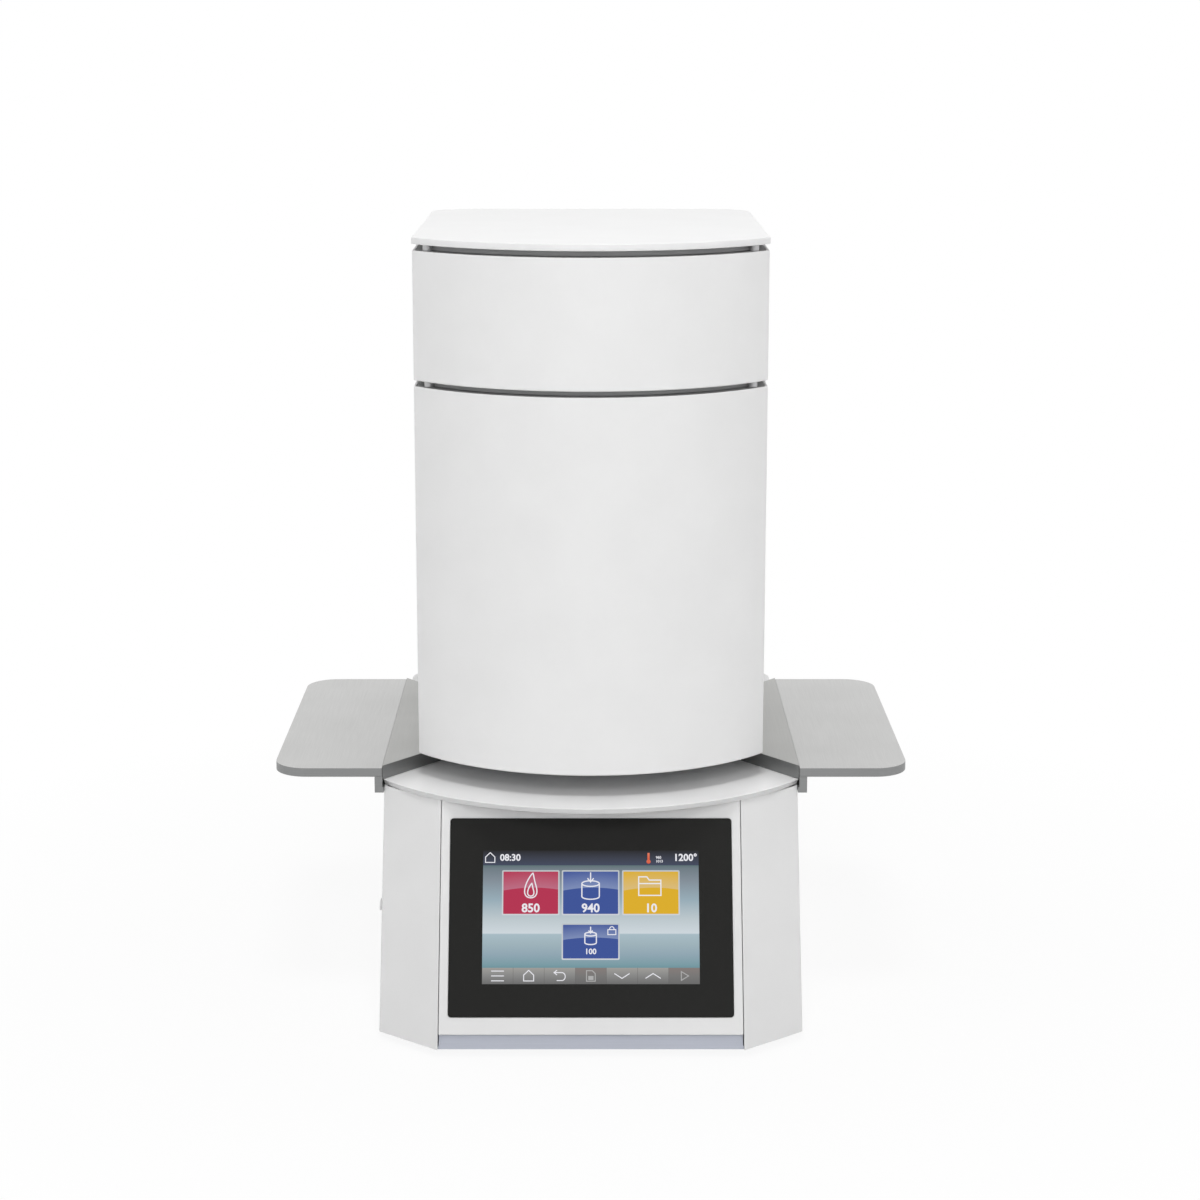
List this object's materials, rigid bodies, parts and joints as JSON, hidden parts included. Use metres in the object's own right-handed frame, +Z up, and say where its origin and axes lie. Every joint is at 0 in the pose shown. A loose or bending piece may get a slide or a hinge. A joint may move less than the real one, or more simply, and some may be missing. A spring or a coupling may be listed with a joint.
{
  "type": "dental lab press furnace",
  "caption": "Press furnace with a lifting bowed head over a firing table, a leaning touch panel in the base, and a steel tray on each side.",
  "frame": {"origin": "centre of the footprint's bounding box, on the table under the feet", "axes": "+X to the right seen from the front, +Y to the back, +Z up; the touch panel faces -Y"},
  "size_m": [0.4746, 0.4492, 0.5746],
  "materials": {
    "white_coat": "satin white powder coat",
    "dark_coat": "dark grey powder coat on aluminium",
    "satin_strip": "satin, slightly blue grey",
    "brushed_steel": "fine brushed",
    "polished_steel": "ground and polished",
    "aluminium": "machined",
    "black_glass": "gloss black touch glass, printed from behind",
    "black_plastic": "fine moulded texture",
    "screen": "lit screen module",
    "circuit_board": "green solder mask",
    "black_rubber": "moulded",
    "fibre": "pressed white refractory fibre",
    "quartz": "clear fused quartz",
    "hot_wire": "oxidised heating wire",
    "seal": "red silicone",
    "bronze": "sintered bronze",
    "brass": "turned",
    "alumina": "dense fired alumina, satin"
  },
  "bodies": {
    "base": {"base_chassis": "satin_strip", "left_side_cover": "white_coat", "right_side_cover": "white_coat", "front_panel": "white_coat", "display_glass": "black_glass", "lcd_module": "screen", "display_bracket": "brushed_steel", "control_board": "circuit_board", "power_supply": "aluminium", "vacuum_valve": "aluminium", "base_top_plate": "white_coat", "firing_table": "polished_steel", "table_plinth": "fibre", "rear_housing": "white_coat", "rear_panel": "dark_coat", "mains_inlet": "black_plastic", "switch_bezel": "black_plastic", "fuse_holder": "black_plastic", "vacuum_port": "brass", "air_port": "polished_steel", "service_port_cap": "white_coat", "fan_frame": "black_plastic", "fan_grille": "polished_steel", "lift_bracket": "aluminium", "lift_motor": "dark_coat", "guide_column_left": "polished_steel", "guide_column_right": "polished_steel", "foot_front_left": "black_rubber", "foot_front_right": "black_rubber", "foot_rear_left": "black_rubber", "foot_rear_right": "black_rubber", "left_tray": "brushed_steel", "right_tray": "brushed_steel", "left_tray_mount": "brushed_steel", "right_tray_mount": "brushed_steel"},
    "spindle": {"shaft_coupler": "aluminium", "lift_spindle": "polished_steel"},
    "fan": {"fan_rotor": "black_plastic"},
    "switch": {"power_switch": "black_plastic"},
    "head": {"hood_shell": "white_coat", "press_band_shell": "white_coat", "head_rear_cover": "white_coat", "top_lid": "white_coat", "hood_deck": "dark_coat", "band_deck": "dark_coat", "hood_spacer": "dark_coat", "band_spacer": "dark_coat", "carrier_plate": "aluminium", "guide_bush_left": "bronze", "guide_bush_right": "bronze", "spindle_nut": "bronze", "chamber_can": "brushed_steel", "chamber_insulation": "fibre", "heating_muffle": "quartz", "heating_coil": "hot_wire", "thermocouple": "alumina", "chamber_seal": "seal", "press_cylinder": "aluminium"},
    "press_ram": {"press_piston": "polished_steel", "press_plunger": "alumina"}
  },
  "joints": [
    {"name": "head_lift", "type": "slide", "parent": "base", "child": "head", "axis": [0, 0, 1], "range_m": [0, 0.16]},
    {"name": "spindle_turn", "type": "hinge", "parent": "base", "child": "spindle", "pos_m": [0, 0.1478, 0.09], "axis": [0, 0, 1], "range_deg": [0, 2880]},
    {"name": "press_stroke", "type": "slide", "parent": "head", "child": "press_ram", "axis": [0, 0, -1], "range_m": [0, 0.055]},
    {"name": "fan_spin", "type": "hinge", "parent": "base", "child": "fan", "pos_m": [0.052, 0.2, 0.088], "axis": [0, 1, 0], "continuous": true},
    {"name": "switch_rock", "type": "hinge", "parent": "base", "child": "switch", "pos_m": [-0.082, 0.2116, 0.09], "axis": [1, 0, 0], "range_deg": [0, 14]}
  ],
  "couplings": [
    {"joint": "spindle_turn", "follows": "head_lift", "rad_per_m": 314.16}
  ]
}
